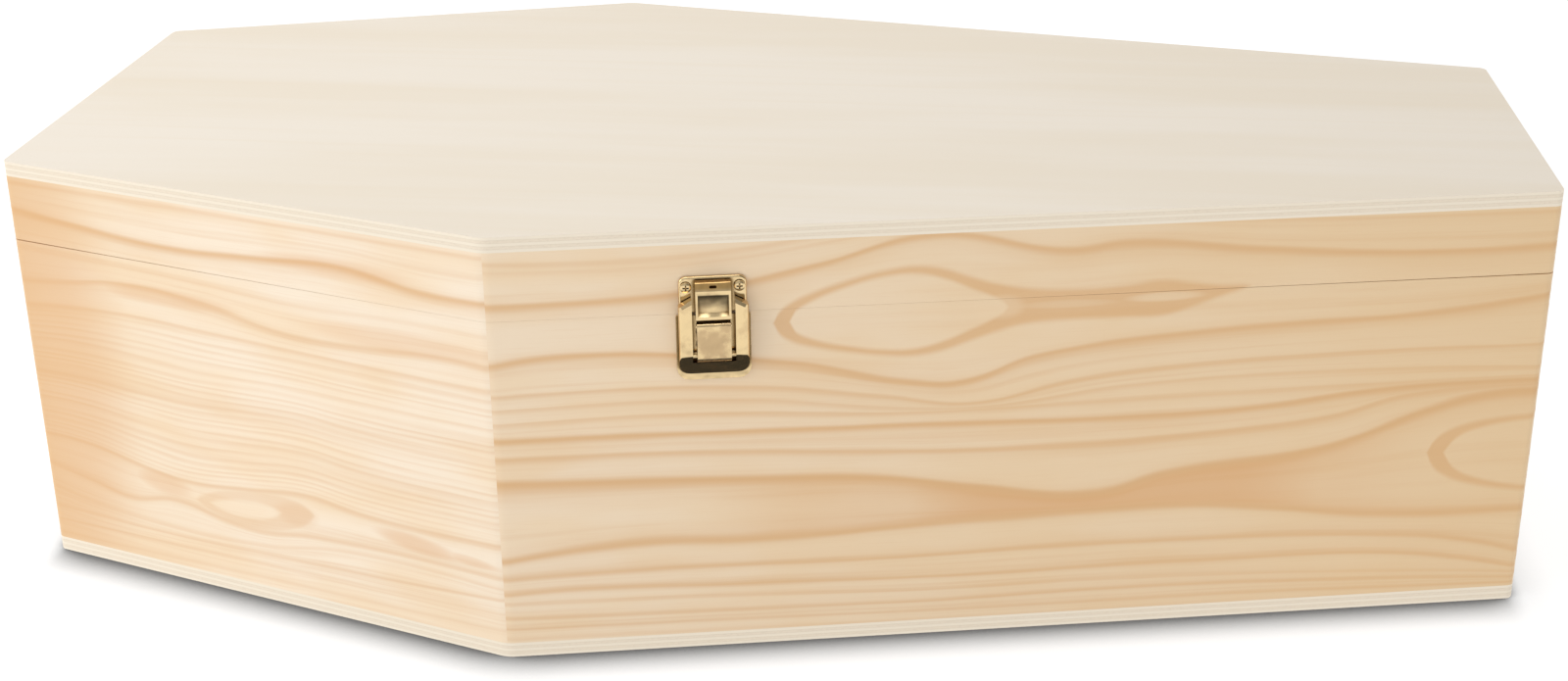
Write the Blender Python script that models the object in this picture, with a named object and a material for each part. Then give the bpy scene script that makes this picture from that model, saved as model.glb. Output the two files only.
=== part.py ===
"""Small coffin-shaped box: pine sides, plywood top and bottom, a sawn-off lid and one snap latch.

Metres, +Z up. +X runs from the head end to the foot end, the latch is on the -Y side,
and the origin is the centre of the underside.
"""

import math

import bmesh
import bpy
from mathutils import Matrix, Vector

# Plan and height of the closed box
LENGTH = 0.500
SHOULDER_FROM_HEAD = 0.1735
SHOULDER_WIDTH = 0.260
HEAD_WIDTH = 0.152
FOOT_WIDTH = 0.128
HEIGHT = 0.145
LID_HEIGHT = 0.0275

# Stock and finish
BOARD_THICKNESS = 0.010
PLY_THICKNESS = 0.005
SHOULDER_ROUNDING = 0.010
END_ROUNDING = 0.003
EDGE_EASING = 0.0008
GAP = 0.0003

# Latch as a whole, placed along the near long side, at the seam
LATCH_FROM_SHOULDER = 0.0686
LATCH_DEPTH = 0.0050
SHEET = 0.0008

# Strike plate on the lid, with the catch that stands out of it
STRIKE_WIDTH = 0.0207
STRIKE_HEIGHT = 0.0120
STRIKE_CORNER = 0.0022
CATCH_WIDTH = 0.0108
CATCH_FRONT = 0.0043
HUMP_FRONT = 0.0031
SCOOP_WIDTH = 0.0094
SCOOP_HEIGHT = 0.0076
SCOOP_DEPTH = 0.0012
SCOOP_FOOT = 0.0003
SCOOP_FOOT_RISE = 0.0010
LIP_HEIGHT = 0.0009
TAIL_THICKNESS = 0.0007
TAIL_FRONT = CATCH_FRONT - LIP_HEIGHT - TAIL_THICKNESS / 2
TAIL_LENGTH = 0.0024
HEM_REACH = 0.0008

# Housing on the case: a flange, and two cheeks with a channel between them
FLANGE_WIDTH = 0.0228
FLANGE_BELOW_SEAM = 0.0217
FLANGE_CORNER = 0.0038
BODY_WIDTH = 0.0214
BODY_BELOW_SEAM = 0.0197
BODY_CORNER = 0.0034
BODY_EDGE_RADIUS = 0.0012
CHEEK_OUTER_ABOVE_SEAM = 0.0038
CHEEK_INNER_ABOVE_SEAM = 0.0060
CHEEK_FOOT_BELOW_SEAM = 0.0123
CHANNEL_WIDTH = 0.0132

# Flap and its pin
FLAP_WIDTH = 0.0104
FLAP_HEIGHT = 0.0112
FLAP_THICKNESS = 0.0007
FLAP_TOP_RADIUS = 0.0010
FLAP_TOP_BELOW_SEAM = 0.0018
BARREL_RADIUS = 0.0017
PIN_RADIUS = 0.0006
PIN_LENGTH = 0.0150
PIN_CLEARANCE = 0.0003

# Screws
SCREW_HEAD_RADIUS = 0.00175
SCREW_HEAD_HEIGHT = 0.0007
SCREW_SHANK_RADIUS = 0.0008
SCREW_LENGTH = 0.0075
SCREW_SLOT = 0.0005
STRIKE_SCREW_SPACING = 0.0163
STRIKE_SCREW_ABOVE_SEAM = 0.0091
HOUSING_SCREW_HEAD_RADIUS = 0.0015
HOUSING_SCREW_SPACING = 0.0036

# Planes that an outline is drawn in: its own x, y and thickness directions.
# PLAN is seen from above. FACE is (along, up), thickened outwards from a side board.
# SIDE is (outwards, up), thickened along the board.
PLAN = Matrix.Identity(4)
FACE = Matrix(((1, 0, 0, 0), (0, 0, -1, 0), (0, 1, 0, 0), (0, 0, 0, 1)))
SIDE = Matrix(((0, 0, -1, 0), (-1, 0, 0, 0), (0, 1, 0, 0), (0, 0, 0, 1)))

for old in list(bpy.data.objects):
    bpy.data.objects.remove(old, do_unlink=True)

coffin = bpy.data.collections.new("coffin_box")
cutting_tools = bpy.data.collections.new("cutters")
bpy.context.scene.collection.children.link(coffin)
bpy.context.scene.collection.children.link(cutting_tools)


def make_material(name, color, roughness, metallic=0.0):
    """A plain Principled material."""
    material = bpy.data.materials.new(name)
    material.use_nodes = True
    shader = material.node_tree.nodes["Principled BSDF"]
    shader.inputs["Base Color"].default_value = (*color, 1.0)
    shader.inputs["Roughness"].default_value = roughness
    shader.inputs["Metallic"].default_value = metallic
    material.diffuse_color = (*color, 1.0)
    return material


PINE = make_material("pine", (0.82, 0.63, 0.42), 0.55)
PLYWOOD = make_material("plywood", (0.88, 0.77, 0.60), 0.60)
BRASS = make_material("brass_plate", (0.83, 0.66, 0.36), 0.25, 1.0)


def fillet(corners, steps=4):
    """Outline points from corners (x, y, radius), with an arc where the radius isn't zero."""
    points = []
    for index, (x, y, radius) in enumerate(corners):
        here = Vector((x, y))
        if radius <= 0.0:
            points.append(here)
            continue
        before = Vector(corners[index - 1][:2]) - here
        after = Vector(corners[(index + 1) % len(corners)][:2]) - here
        half = before.angle(after) / 2
        reach = radius / math.tan(half)
        start = here + before.normalized() * reach
        end = here + after.normalized() * reach
        middle = here + (before.normalized() + after.normalized()).normalized() * radius / math.sin(half)
        sweep = (start - middle).angle_signed(end - middle)
        for step in range(steps + 1):
            points.append(middle + Matrix.Rotation(-sweep * step / steps, 2) @ (start - middle))
    return points


def prism(name, outline, low, high, plane):
    """A mesh object: a closed outline, given thickness from low to high across its plane."""
    curve = bpy.data.curves.new(name, "CURVE")
    curve.dimensions = "2D"
    curve.fill_mode = "BOTH"
    curve.extrude = (high - low) / 2
    spline = curve.splines.new("POLY")
    spline.points.add(len(outline) - 1)
    for point, (x, y) in zip(spline.points, outline):
        point.co = (x, y, 0, 1)
    spline.use_cyclic_u = True
    drawn = bpy.data.objects.new(name + "_outline", curve)
    bpy.context.scene.collection.objects.link(drawn)
    solid = bpy.data.meshes.new_from_object(drawn.evaluated_get(bpy.context.evaluated_depsgraph_get()))
    bpy.data.objects.remove(drawn)
    solid.name = name
    solid.materials.clear()
    shape = bmesh.new()
    shape.from_mesh(solid)
    bmesh.ops.translate(shape, verts=shape.verts, vec=(0, 0, (low + high) / 2))
    bmesh.ops.transform(shape, matrix=plane, verts=shape.verts)
    bmesh.ops.remove_doubles(shape, verts=shape.verts, dist=1e-6)
    bmesh.ops.dissolve_limit(shape, angle_limit=0.001, verts=shape.verts, edges=shape.edges)
    bmesh.ops.recalc_face_normals(shape, faces=shape.faces)
    shape.to_mesh(solid)
    shape.free()
    return bpy.data.objects.new(name, solid)


def keep(piece, material, parent=None):
    """Files a finished piece in the box's collection."""
    piece.data.materials.append(material)
    piece.parent = parent
    coffin.objects.link(piece)
    return piece


def cut(piece, tool, operation="DIFFERENCE"):
    """Cuts a piece with a tool, joins the tool to it, or keeps what they share."""
    cutting_tools.objects.link(tool)
    tool.hide_render = True
    tool.display_type = "WIRE"
    tool.parent = piece.parent
    step = piece.modifiers.new(tool.name, "BOOLEAN")
    step.operation = operation
    step.solver = "EXACT"
    step.object = tool


def round_bar(name, radius, start, end, sides=24):
    """A mesh cylinder between two points."""
    start, end = Vector(start), Vector(end)
    mesh = bpy.data.meshes.new(name)
    shape = bmesh.new()
    length = (end - start).length
    bmesh.ops.create_cone(shape, cap_ends=True, segments=sides, radius1=radius, radius2=radius, depth=length)
    turn = (end - start).to_track_quat("Z", "Y").to_matrix().to_4x4()
    bmesh.ops.transform(shape, matrix=Matrix.Translation((start + end) / 2) @ turn, verts=shape.verts)
    shape.to_mesh(mesh)
    shape.free()
    return bpy.data.objects.new(name, mesh)


def smooth_rounds(piece):
    """Shades a piece smooth, with its real edges kept sharp."""
    piece.data.shade_smooth()
    piece.data.set_sharp_from_angle(angle=math.radians(30))


# Plan of the box: its six corners, counter-clockwise from the near corner at the head
HEAD_X = -LENGTH / 2
FOOT_X = LENGTH / 2
SHOULDER_X = HEAD_X + SHOULDER_FROM_HEAD
CORNERS = [
    Vector((HEAD_X, -HEAD_WIDTH / 2)),
    Vector((SHOULDER_X, -SHOULDER_WIDTH / 2)),
    Vector((FOOT_X, -FOOT_WIDTH / 2)),
    Vector((FOOT_X, FOOT_WIDTH / 2)),
    Vector((SHOULDER_X, SHOULDER_WIDTH / 2)),
    Vector((HEAD_X, HEAD_WIDTH / 2)),
]
WALLS = ["side_near_head", "side_near_foot", "end_foot", "side_far_foot", "side_far_head", "end_head"]
ROUNDING = [END_ROUNDING, SHOULDER_ROUNDING, END_ROUNDING, END_ROUNDING, SHOULDER_ROUNDING, END_ROUNDING]
OUTLINE = fillet([(*corner, radius) for corner, radius in zip(CORNERS, ROUNDING)], steps=6)
SEAM = HEIGHT - LID_HEIGHT


def edge_direction(index):
    """The way that a wall runs, from its first corner to its second."""
    return (CORNERS[(index + 1) % 6] - CORNERS[index % 6]).normalized()


def saw(shape, point, normal):
    """Cuts away what lies on the normal's side of a plane, and closes the cut."""
    everything = [*shape.verts, *shape.edges, *shape.faces]
    bmesh.ops.bisect_plane(
        shape, geom=everything, plane_co=(*point, 0), plane_no=(*normal, 0), clear_outer=True, dist=1e-7
    )
    bmesh.ops.holes_fill(shape, edges=[edge for edge in shape.edges if edge.is_boundary])


def wall_board(name, index, low, high):
    """One side board, mitred at both ends, sawn out of the box's full outline."""
    along = edge_direction(index)
    inwards = Vector((-along.y, along.x))
    first, second = CORNERS[index], CORNERS[(index + 1) % 6]
    board = prism(name, OUTLINE, low, high, PLAN)
    shape = bmesh.new()
    shape.from_mesh(board.data)
    saw(shape, first + inwards * BOARD_THICKNESS, inwards)
    for corner, neighbour in ((second, index + 1), (first, index - 1)):
        mitre = (along + edge_direction(neighbour)).normalized()
        if corner is first:
            mitre = -mitre
        saw(shape, corner - mitre * GAP / 2, mitre)
    bmesh.ops.recalc_face_normals(shape, faces=shape.faces)
    shape.to_mesh(board.data)
    shape.free()
    return keep(board, PINE)


def ply_panel(name, low, high, eased):
    """A plywood panel of the full outline, with its outer edge eased at the height given."""
    panel = prism(name, OUTLINE, low, high, PLAN)
    shape = bmesh.new()
    shape.from_mesh(panel.data)
    rim = [edge for edge in shape.edges if all(abs(vert.co.z - eased) < 1e-5 for vert in edge.verts)]
    bmesh.ops.bevel(
        shape, geom=rim, offset=EDGE_EASING, offset_type="OFFSET", segments=3, profile=0.5, affect="EDGES"
    )
    shape.to_mesh(panel.data)
    shape.free()
    return keep(panel, PLYWOOD)


def build_case_and_lid():
    """The boards: those of the case up to the saw cut, and those of the lid above it."""
    boards = {}
    ply_panel("case_bottom", 0.0, PLY_THICKNESS, 0.0)
    ply_panel("lid_top", HEIGHT - PLY_THICKNESS, HEIGHT, HEIGHT)
    for index, wall in enumerate(WALLS):
        low, high = PLY_THICKNESS + GAP, SEAM - GAP / 2
        boards["case_" + wall] = wall_board("case_" + wall, index, low, high)
        low, high = SEAM + GAP / 2, HEIGHT - PLY_THICKNESS - GAP
        boards["lid_" + wall] = wall_board("lid_" + wall, index, low, high)
    return boards


def place_latch():
    """An empty on the near long side's face, at the seam, that carries the latch."""
    along = edge_direction(1)
    spot = CORNERS[1] + along * LATCH_FROM_SHOULDER
    place = bpy.data.objects.new("latch_place", None)
    place.location = (*spot, SEAM)
    place.rotation_euler = (0, 0, math.atan2(along.y, along.x))
    place.empty_display_size = 0.01
    coffin.objects.link(place)
    return place


def block(half_width, low, high, corner=0.0, top_corner=0.0):
    """A rectangle's outline, as wide each way as the half width, with its corners rounded."""
    return fillet([
        (-half_width, low, corner),
        (half_width, low, corner),
        (half_width, high, top_corner),
        (-half_width, high, top_corner),
    ])


def build_strike(place):
    """The lid's half of the latch: a plate, and a catch with a finger scoop and a hemmed tail."""
    plate_low, plate_high = GAP, GAP + STRIKE_HEIGHT
    plate_front = GAP + SHEET
    strike = prism(
        "latch_strike",
        block(STRIKE_WIDTH / 2, plate_low, plate_high, top_corner=STRIKE_CORNER),
        GAP, plate_front, FACE,
    )
    keep(strike, BRASS, place)

    lip_low = -LIP_HEIGHT
    scoop_top = SCOOP_HEIGHT
    hump_top = plate_high - SHEET
    hump_low = scoop_top + SHEET * 1.4
    buried = plate_front - SHEET / 2
    tail_back = TAIL_FRONT - TAIL_THICKNESS
    tail_low = lip_low - TAIL_LENGTH
    profile = fillet([
        (buried, hump_top, 0),
        (HUMP_FRONT, hump_top - SHEET / 2, SHEET * 2),
        (CATCH_FRONT, hump_low, SHEET / 2),
        (CATCH_FRONT, lip_low, LIP_HEIGHT / 3),
        (TAIL_FRONT, lip_low, 0),
        (TAIL_FRONT, tail_low + TAIL_THICKNESS, 0),
        (TAIL_FRONT + HEM_REACH, tail_low + TAIL_THICKNESS, 0),
        (TAIL_FRONT + HEM_REACH, tail_low, 0),
        (tail_back, tail_low, 0),
        (tail_back, plate_low + SHEET, 0),
        (buried, plate_low + SHEET * 2, 0),
    ])
    cut(strike, prism("catch", profile, -CATCH_WIDTH / 2, CATCH_WIDTH / 2, SIDE), "UNION")

    deepest = SCOOP_FOOT + SCOOP_FOOT_RISE
    scoop_rise = scoop_top - deepest
    scoop_radius = (scoop_rise**2 + SCOOP_DEPTH**2) / (2 * SCOOP_DEPTH)
    full_turn = math.asin(scoop_rise / scoop_radius)
    scoop_steps = 12
    scoop = [Vector((CATCH_FRONT + SHEET, SCOOP_FOOT)), Vector((CATCH_FRONT, SCOOP_FOOT))]
    for step in range(scoop_steps + 1):
        turn = full_turn * step / scoop_steps
        out = CATCH_FRONT - SCOOP_DEPTH + scoop_radius * (1 - math.cos(turn))
        scoop.append(Vector((out, deepest + scoop_radius * math.sin(turn))))
    scoop.append(Vector((CATCH_FRONT + SHEET, scoop_top)))
    cut(strike, prism("scoop", scoop, -SCOOP_WIDTH / 2, SCOOP_WIDTH / 2, SIDE))

    dimple_up = (hump_low + hump_top - SHEET / 2) / 2
    dimple_floor = (HUMP_FRONT + CATCH_FRONT) / 2 - SHEET * 1.4
    dimple = prism("dimple", block(SHEET * 1.4, -SHEET / 2, SHEET / 2, SHEET * 0.45, SHEET * 0.45),
                   dimple_floor, LATCH_DEPTH + SHEET, FACE)
    dimple.location = (0, 0, dimple_up)
    cut(strike, dimple)
    smooth_rounds(strike)
    return strike


def build_housing(place, pin_out, pin_up, channel_foot):
    """The case's half: a flange with a body on it, whose channel leaves two cheeks."""
    flange_top = -GAP
    flange_front = GAP + SHEET
    half_body = BODY_WIDTH / 2
    ear_back = GAP + SHEET + GAP * 2
    middle_of_flange = GAP + SHEET / 2
    profile = fillet([
        (middle_of_flange, -BODY_BELOW_SEAM - GAP, 0),
        (flange_front, -BODY_BELOW_SEAM, 0),
        (LATCH_DEPTH, -CHEEK_FOOT_BELOW_SEAM, SHEET),
        (LATCH_DEPTH, CHEEK_INNER_ABOVE_SEAM, 0),
        (ear_back, CHEEK_INNER_ABOVE_SEAM, 0),
        (ear_back, flange_top - GAP, 0),
        (middle_of_flange, flange_top - GAP, 0),
    ])
    housing = prism("latch_housing", profile, -half_body, half_body, SIDE)
    keep(housing, BRASS, place)

    past = LATCH_DEPTH + SHEET
    front = fillet([
        (-half_body, -BODY_BELOW_SEAM, BODY_CORNER),
        (half_body, -BODY_BELOW_SEAM, BODY_CORNER),
        (half_body, CHEEK_OUTER_ABOVE_SEAM, SHEET / 2),
        (CHANNEL_WIDTH / 2, CHEEK_INNER_ABOVE_SEAM, 0),
        (-CHANNEL_WIDTH / 2, CHEEK_INNER_ABOVE_SEAM, 0),
        (-half_body, CHEEK_OUTER_ABOVE_SEAM, SHEET / 2),
    ])
    cut(housing, prism("body_front", front, 0, past, FACE), "INTERSECT")
    section = fillet([
        (-half_body, 0, 0),
        (-half_body, -LATCH_DEPTH, BODY_EDGE_RADIUS),
        (half_body, -LATCH_DEPTH, BODY_EDGE_RADIUS),
        (half_body, 0, 0),
    ])
    rounded_body = prism("body_section", section, -FLANGE_BELOW_SEAM, 2 * CHEEK_INNER_ABOVE_SEAM, PLAN)
    cut(housing, rounded_body, "INTERSECT")
    channel = block(CHANNEL_WIDTH / 2, channel_foot, 2 * CHEEK_INNER_ABOVE_SEAM)
    cut(housing, prism("channel", channel, middle_of_flange - SHEET / 4, past, FACE))
    flange = block(FLANGE_WIDTH / 2, -FLANGE_BELOW_SEAM, flange_top, FLANGE_CORNER, SHEET / 2)
    cut(housing, prism("flange", flange, GAP, flange_front, FACE), "UNION")

    reach = PIN_LENGTH / 2 + GAP
    hole_ends = [(sign * reach, -pin_out, pin_up) for sign in (-1, 1)]
    cut(housing, round_bar("pin_hole", PIN_RADIUS + PIN_CLEARANCE, *hole_ends))
    smooth_rounds(housing)
    return housing, flange_front


def build_flap(place, pin_out, pin_up):
    """The thumb flap: a front plate, a top edge turned inwards, and a barrel on the pin."""
    inner_face = BARREL_RADIUS - FLAP_THICKNESS
    meets_barrel = math.atan2(math.sqrt(BARREL_RADIUS**2 - inner_face**2), inner_face)
    hook_reach = TAIL_FRONT + GAP * 2
    hook = hook_reach - pin_out
    profile = fillet([
        (BARREL_RADIUS, 0, 0),
        (BARREL_RADIUS, FLAP_HEIGHT, FLAP_TOP_RADIUS),
        (hook, FLAP_HEIGHT, 0),
        (hook, FLAP_HEIGHT - FLAP_THICKNESS, 0),
        (inner_face, FLAP_HEIGHT - FLAP_THICKNESS, FLAP_TOP_RADIUS - FLAP_THICKNESS),
    ])
    turn_steps = 28
    for step in range(turn_steps):
        angle = meets_barrel + (2 * math.pi - meets_barrel) * step / turn_steps
        profile.append(Vector((math.cos(angle), math.sin(angle))) * BARREL_RADIUS)
    flap = prism("latch_flap", profile, -FLAP_WIDTH / 2, FLAP_WIDTH / 2, SIDE)
    flap.location = (0, -pin_out, pin_up)
    keep(flap, BRASS, place)
    bore = round_bar("flap_bore", PIN_RADIUS + PIN_CLEARANCE, (-FLAP_WIDTH, 0, 0), (FLAP_WIDTH, 0, 0))
    bore.location = flap.location
    cut(flap, bore)
    smooth_rounds(flap)

    pin_ends = [(sign * PIN_LENGTH / 2, -pin_out, pin_up) for sign in (-1, 1)]
    pin = round_bar("latch_pin", PIN_RADIUS, *pin_ends, sides=20)
    smooth_rounds(pin)
    keep(pin, BRASS, place)


def build_screw(name, place, along, up, seat, head_radius, held):
    """A slotted round-head screw, and its holes in the plate and the board that it holds."""
    rings = 5
    under_head = seat + GAP
    dome = [(0.0, under_head + SCREW_HEAD_HEIGHT)]
    for step in range(1, rings + 1):
        angle = math.pi / 2 * step / rings
        height = SCREW_HEAD_HEIGHT * math.cos(angle) * 0.7
        dome.append((head_radius * math.sin(angle), under_head + SCREW_HEAD_HEIGHT * 0.3 + height))
    tip = under_head - SCREW_LENGTH
    shank = [
        (head_radius, under_head),
        (SCREW_SHANK_RADIUS, under_head),
        (SCREW_SHANK_RADIUS, tip + SCREW_SHANK_RADIUS * 2),
        (0.0, tip),
    ]
    mesh = bpy.data.meshes.new(name)
    shape = bmesh.new()
    chain = [shape.verts.new((radius, 0, height)) for radius, height in dome + shank]
    for start, end in zip(chain, chain[1:]):
        shape.edges.new((start, end))
    bmesh.ops.spin(
        shape, geom=[*shape.verts, *shape.edges], cent=(0, 0, 0), axis=(0, 0, 1),
        angle=2 * math.pi, steps=20, use_merge=True,
    )
    bmesh.ops.remove_doubles(shape, verts=shape.verts, dist=1e-6)
    bmesh.ops.transform(shape, matrix=Matrix.Translation((along, 0, up)) @ FACE, verts=shape.verts)
    bmesh.ops.recalc_face_normals(shape, faces=shape.faces)
    shape.to_mesh(mesh)
    shape.free()
    screw = bpy.data.objects.new(name, mesh)
    keep(screw, BRASS, place)
    top = under_head + SCREW_HEAD_HEIGHT
    half_slot = SCREW_SLOT / 2
    half_cross = head_radius * 0.55
    for turned, (wide, tall) in enumerate(((half_slot, half_cross), (half_cross, half_slot))):
        outline = block(wide, -tall, tall)
        slot = prism(f"{name}_slot_{turned}", outline, top - SCREW_SLOT, top + SCREW_SLOT, FACE)
        slot.location = (along, 0, up)
        cut(screw, slot)
    smooth_rounds(screw)
    hole_start = (along, -(top + GAP), up)
    hole_end = (along, -(tip - GAP), up)
    for number, piece in enumerate(held):
        hole = round_bar(f"{name}_hole_{number}", SCREW_SHANK_RADIUS + GAP, hole_start, hole_end, sides=16)
        cut(piece, hole)
        hole.parent = place


def build_latch(boards):
    """The latch's pieces, each placed on the near long side's face."""
    place = place_latch()
    pin_out = LATCH_DEPTH - BARREL_RADIUS
    pin_up = -FLAP_TOP_BELOW_SEAM - FLAP_HEIGHT
    barrel_foot = pin_up - BARREL_RADIUS
    strike = build_strike(place)
    housing, floor = build_housing(place, pin_out, pin_up, barrel_foot - GAP)
    build_flap(place, pin_out, pin_up)

    seat = GAP + SHEET
    lid_board = boards["lid_side_near_foot"]
    for end, sign in (("head", -1), ("foot", 1)):
        build_screw(
            f"latch_strike_screw_{end}", place, sign * STRIKE_SCREW_SPACING / 2, STRIKE_SCREW_ABOVE_SEAM,
            seat, SCREW_HEAD_RADIUS, [strike, lid_board],
        )
    tail_foot = -LIP_HEIGHT - TAIL_LENGTH
    barrel_top = pin_up + BARREL_RADIUS
    middle = (tail_foot + barrel_top) / 2
    case_board = boards["case_side_near_foot"]
    for level, sign in (("upper", 1), ("lower", -1)):
        build_screw(
            f"latch_housing_screw_{level}", place, 0.0, middle + sign * HOUSING_SCREW_SPACING / 2,
            floor, HOUSING_SCREW_HEAD_RADIUS, [housing, case_board],
        )


build_latch(build_case_and_lid())
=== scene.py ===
# %% [markdown]
# # A small pine coffin box with a brass snap latch
#
# This lesson dresses a box that is already built. Its boards, plywood panels and latch parts come from the
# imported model, at their real sizes, so nothing here moves them. What this lesson adds is what the eye
# wants: wood that looks sawn from a tree, plywood edges with their layers, and polished brass.
# Each step first says what the real thing is, then how it could be made, and why one way was chosen.

import math
import random

import bmesh
import bpy
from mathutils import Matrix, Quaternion, Vector


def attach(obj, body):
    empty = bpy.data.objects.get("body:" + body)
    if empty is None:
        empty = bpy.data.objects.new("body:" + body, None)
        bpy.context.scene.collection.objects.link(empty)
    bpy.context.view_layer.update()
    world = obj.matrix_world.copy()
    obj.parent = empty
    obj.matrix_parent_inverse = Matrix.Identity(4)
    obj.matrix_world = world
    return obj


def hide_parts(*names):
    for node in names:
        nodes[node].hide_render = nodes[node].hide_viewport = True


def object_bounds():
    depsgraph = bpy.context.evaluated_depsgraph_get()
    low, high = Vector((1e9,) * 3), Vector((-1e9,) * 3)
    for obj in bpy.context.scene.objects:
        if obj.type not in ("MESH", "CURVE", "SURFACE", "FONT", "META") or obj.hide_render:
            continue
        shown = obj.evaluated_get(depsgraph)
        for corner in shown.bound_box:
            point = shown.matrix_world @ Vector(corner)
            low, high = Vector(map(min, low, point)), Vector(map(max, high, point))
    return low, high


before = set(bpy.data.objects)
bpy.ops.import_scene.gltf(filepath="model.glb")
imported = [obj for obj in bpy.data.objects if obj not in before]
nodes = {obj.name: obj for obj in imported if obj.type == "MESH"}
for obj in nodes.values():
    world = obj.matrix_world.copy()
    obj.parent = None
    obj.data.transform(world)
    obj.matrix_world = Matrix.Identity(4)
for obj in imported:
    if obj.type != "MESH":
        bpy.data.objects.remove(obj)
built_low, built_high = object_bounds()
print("pieces:", len(nodes), "box in metres:", tuple(round(side, 4) for side in built_high - built_low))

# %% [markdown]
# ## The camera
#
# A picture is matched by its camera before anything else. The box is seen from a little above, from its
# near long side, with the head end on the left. The real photographer's camera was tipped down only
# slightly, so the upright edges lean together very little. A lens shift does the same here: it lowers the
# frame without tipping the camera further.

# %% Place the camera
CAMERA_AIM = Vector((-0.0085, 0.0708, 0.0725))
CAMERA_DISTANCE = 0.8383
CAMERA_TURN = math.radians(-6.484)
CAMERA_TIP = math.radians(21.462)
CAMERA_ROLL = math.radians(-0.667)
LENS_MM = 49.05
SENSOR_MM = 36
NEAREST_SEEN = 0.01
PHOTO_WIDTH, PHOTO_HEIGHT = 1600, 695
LEVEL_ROW = 230

looking = Vector((
    math.cos(CAMERA_TIP) * math.sin(CAMERA_TURN),
    math.cos(CAMERA_TIP) * math.cos(CAMERA_TURN),
    -math.sin(CAMERA_TIP),
))
camera = bpy.data.objects.new("camera", bpy.data.cameras.new("camera"))
camera.location = CAMERA_AIM - looking * CAMERA_DISTANCE
camera.rotation_mode = "QUATERNION"
upright = (-looking).to_track_quat("Z", "Y")
camera.rotation_quaternion = upright @ Quaternion((0, 0, 1), CAMERA_ROLL)
camera.data.lens = LENS_MM
camera.data.sensor_width = SENSOR_MM
camera.data.shift_y = (LEVEL_ROW - PHOTO_HEIGHT / 2) / PHOTO_WIDTH
camera.data.clip_start = NEAREST_SEEN
bpy.context.collection.objects.link(camera)
bpy.context.scene.camera = camera
print("camera at", tuple(round(part, 3) for part in camera.location))

# %% [markdown]
# ## Nodes written as sums
#
# A wood finish needs a lot of arithmetic, and a page of node calls hides it. One small class wraps a
# node's output, so that `height - line` adds a Subtract node by itself. Everything else, such as a noise or
# a curve, comes from one method that sets the node's choices first and its sockets after.

# %% The wire class
class Wire:
    """An output of a shader node. Sums written with it add Math nodes to its tree."""

    def __init__(self, tree, socket=None):
        self.tree = tree
        self.socket = socket

    def node(self, kind, settings=None, inputs=None, output=0):
        """Adds a node: its settings come first, then the values or links of its sockets."""
        made = self.tree.nodes.new(kind)
        for name, value in (settings or {}).items():
            if name == "curves":
                set_curves(made.mapping, value)
            else:
                setattr(made, name, value)
        for name, value in (inputs or {}).items():
            if isinstance(value, Wire):
                self.tree.links.new(value.socket, made.inputs[name])
            else:
                made.inputs[name].default_value = value
        return Wire(self.tree, made.outputs[output])

    def other(self, name):
        """Another output of the same node."""
        return Wire(self.tree, self.socket.node.outputs[name])

    def math(self, operation, *values):
        return self.node("ShaderNodeMath", {"operation": operation}, dict(enumerate(values)))

    def __add__(self, value):
        return self.math("ADD", self, value)

    def __radd__(self, value):
        return self.math("ADD", value, self)

    def __sub__(self, value):
        return self.math("SUBTRACT", self, value)

    def __rsub__(self, value):
        return self.math("SUBTRACT", value, self)

    def __mul__(self, value):
        return self.math("MULTIPLY", self, value)

    def __rmul__(self, value):
        return self.math("MULTIPLY", value, self)

    def __truediv__(self, value):
        return self.math("DIVIDE", self, value)

    def __pow__(self, value):
        return self.math("POWER", self, value)

    def __abs__(self):
        return self.math("ABSOLUTE", self)

    def rise(self, low, high, soft=True):
        """0 below low and 1 above high, with a smooth or a straight slope between them."""
        slope = "SMOOTHSTEP" if soft else "LINEAR"
        sockets = {"Value": self, "From Min": low, "From Max": high}
        return self.node("ShaderNodeMapRange", {"interpolation_type": slope}, sockets)

    def mix(self, first, second):
        """The first colour where this wire is 0 and the second where it is 1."""
        return self.node("ShaderNodeMix", {"data_type": "RGBA"}, {0: self, 6: first, 7: second}, 2)


def set_curves(mapping, curves):
    """Gives a curves node its points, one list of (across, up) pairs for each curve.

    A new curve has its two ends already, so the first pairs move those.
    """
    for curve, points in zip(mapping.curves, curves):
        for number, point in enumerate(points):
            if number < len(curve.points):
                curve.points[number].location = point
            else:
                curve.points.new(*point)
    mapping.update()


def paint(red, green, blue):
    """A colour picked in a paint program, 0 to 255, as the linear light that nodes use."""
    shares = [part / 255 for part in (red, green, blue)]
    linear = [s / 12.92 if s <= 0.04045 else ((s + 0.055) / 1.055) ** 2.4 for s in shares]
    return (*linear, 1)


def start_finish(name):
    """A new material, and a wire that holds its node tree."""
    material = bpy.data.materials.new(name)
    material.use_nodes = True
    return material, Wire(material.node_tree)


def end_finish(material, sockets):
    """Sets the values and links of the material's Principled shader."""
    shader = material.node_tree.nodes["Principled BSDF"]
    for name, value in sockets.items():
        if isinstance(value, Wire):
            material.node_tree.links.new(value.socket, shader.inputs[name])
        else:
            shader.inputs[name].default_value = value
    print("finish", material.name, "nodes", len(material.node_tree.nodes))

# %% [markdown]
# ## Rulers on each board
#
# Grain runs along a board, so a finish needs the distance along it and the height, in millimetres. UV
# maps could hold them, but they would be cut where the lid was sawn off. The box itself is the
# better ruler: the place of a point, measured along the board's direction from its first corner, is the
# same on the case and the lid, and the grain runs across the saw cut as it does on the real box.

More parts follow.
